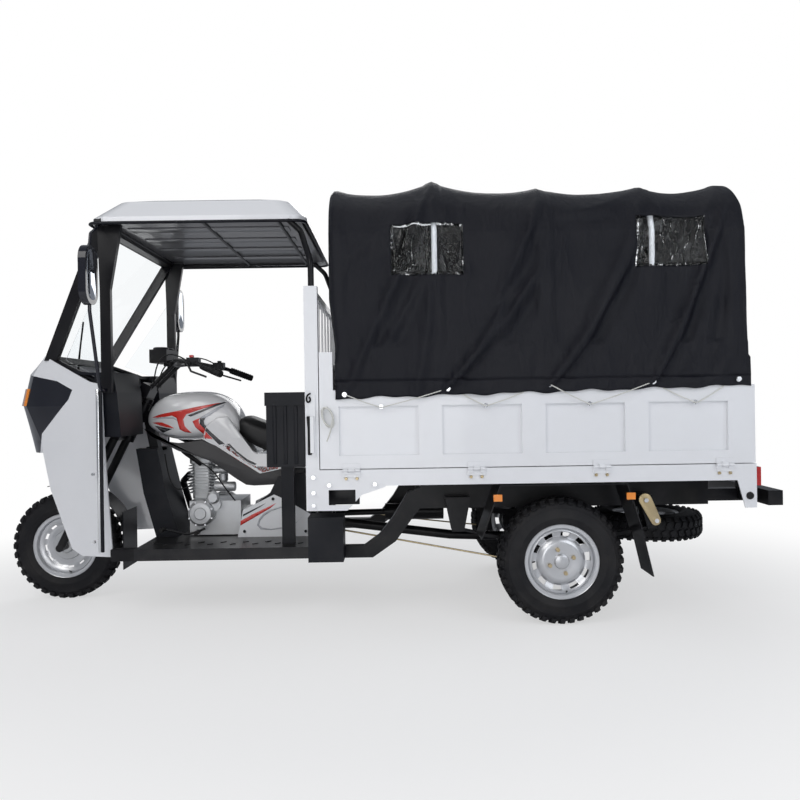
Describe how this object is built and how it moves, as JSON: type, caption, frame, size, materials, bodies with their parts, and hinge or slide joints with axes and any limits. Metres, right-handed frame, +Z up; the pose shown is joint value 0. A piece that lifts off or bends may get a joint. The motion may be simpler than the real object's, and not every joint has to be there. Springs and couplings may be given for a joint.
{
  "type": "cargo motor tricycle",
  "caption": "Motor tricycle with a roofed rider's cab, a motorcycle-style tank and seat, and a drop-sided load bed under a dark fabric cover on hoops.",
  "frame": {"origin": "on the ground under the middle of the overall length and width", "axes": "+X to the rear, +Y to the vehicle's right side, +Z up"},
  "size_m": [3.81, 1.472, 2.0848],
  "materials": {
    "black_paint": "satin",
    "black_plastic": "satin",
    "canvas": "matte",
    "cast_aluminium": "cast",
    "dark_plastic": "satin",
    "glass": "clear",
    "lens": "clear",
    "mirror_black": "gloss",
    "pearl_paint": "gloss",
    "seat_vinyl": "satin",
    "tyre": "matte",
    "wheel_silver": "satin",
    "white_paint": "gloss",
    "white_plastic": "gloss"
  },
  "bodies": {
    "chassis": {"battery_box": "black_plastic", "bed_floor": "black_paint", "bed_frame": "white_paint", "cab_frame": "black_paint", "chassis_frame": "black_paint", "dashboard": "black_plastic", "engine_case": "cast_aluminium", "engine_cylinder": "cast_aluminium", "exhaust": "black_paint", "footboard": "black_paint", "frame_cover": "black_plastic", "front_fairing": "white_plastic", "fuel_tank": "pearl_paint", "headboard": "white_paint", "hoop_bows": "white_paint", "lamps": "lens", "leaf_springs": "black_paint", "lower_cover": "dark_plastic", "mirrors": "mirror_black", "nose_panel": "black_plastic", "rear_axle": "black_paint", "rear_bumper": "black_paint", "rear_fenders": "black_paint", "rider_seat": "seat_vinyl", "roof_shell": "white_plastic", "seat_base": "black_paint", "seat_cowl": "pearl_paint", "side_boxes": "black_plastic", "side_covers": "white_plastic", "side_hinges": "white_paint", "spare_rim": "wheel_silver", "spare_tyre": "tyre", "tailgate_hinges": "white_paint", "tarp_cover": "canvas", "tarp_hem_left": "canvas", "tarp_hem_right": "canvas", "tarp_hoops": "white_paint", "windscreen": "glass"},
    "steering": {"front_fork": "black_paint", "front_fender": "black_plastic", "handlebar": "black_paint"},
    "front_wheel": {"front_tyre": "tyre", "front_rim": "wheel_silver"},
    "rear_wheel_left": {"rear_left_tyre": "tyre", "rear_left_rim": "wheel_silver"},
    "rear_wheel_right": {"rear_right_tyre": "tyre", "rear_right_rim": "wheel_silver"},
    "drop_side_left": {"drop_side_left": "white_paint"},
    "drop_side_right": {"drop_side_right": "white_paint"},
    "tailgate": {"tailgate": "white_paint"},
    "box_lid_left": {"box_lid_left": "black_plastic"},
    "box_lid_right": {"box_lid_right": "black_plastic"}
  },
  "joints": [
    {"name": "steering_turn", "type": "hinge", "parent": "chassis", "child": "steering", "pos_m": [-1.584, 0, 0.281], "axis": [0.454, 0, 0.891], "range_deg": [-30, 30]},
    {"name": "front_wheel_roll", "type": "hinge", "parent": "steering", "child": "front_wheel", "pos_m": [-1.624, 0, 0.281], "axis": [0, 1, 0], "continuous": true},
    {"name": "rear_wheel_left_roll", "type": "hinge", "parent": "chassis", "child": "rear_wheel_left", "pos_m": [0.868, -0.575, 0.285], "axis": [0, 1, 0], "continuous": true},
    {"name": "rear_wheel_right_roll", "type": "hinge", "parent": "chassis", "child": "rear_wheel_right", "pos_m": [0.868, 0.575, 0.285], "axis": [0, 1, 0], "continuous": true},
    {"name": "drop_side_left_fold", "type": "hinge", "parent": "chassis", "child": "drop_side_left", "pos_m": [0.755, -0.712, 0.72], "axis": [1, 0, 0], "range_deg": [0, 180], "deforming": ["tarp_hem_left"]},
    {"name": "drop_side_right_fold", "type": "hinge", "parent": "chassis", "child": "drop_side_right", "pos_m": [0.755, 0.712, 0.72], "axis": [-1, 0, 0], "range_deg": [0, 180], "deforming": ["tarp_hem_right"]},
    {"name": "tailgate_fold", "type": "hinge", "parent": "chassis", "child": "tailgate", "pos_m": [1.726, 0, 0.72], "axis": [0, 1, 0], "range_deg": [0, 90]},
    {"name": "box_lid_left_open", "type": "hinge", "parent": "chassis", "child": "box_lid_left", "pos_m": [-0.401, -0.177, 1.0295], "axis": [-1, 0, 0], "range_deg": [0, 95]},
    {"name": "box_lid_right_open", "type": "hinge", "parent": "chassis", "child": "box_lid_right", "pos_m": [-0.401, 0.177, 1.0295], "axis": [1, 0, 0], "range_deg": [0, 95]}
  ]
}
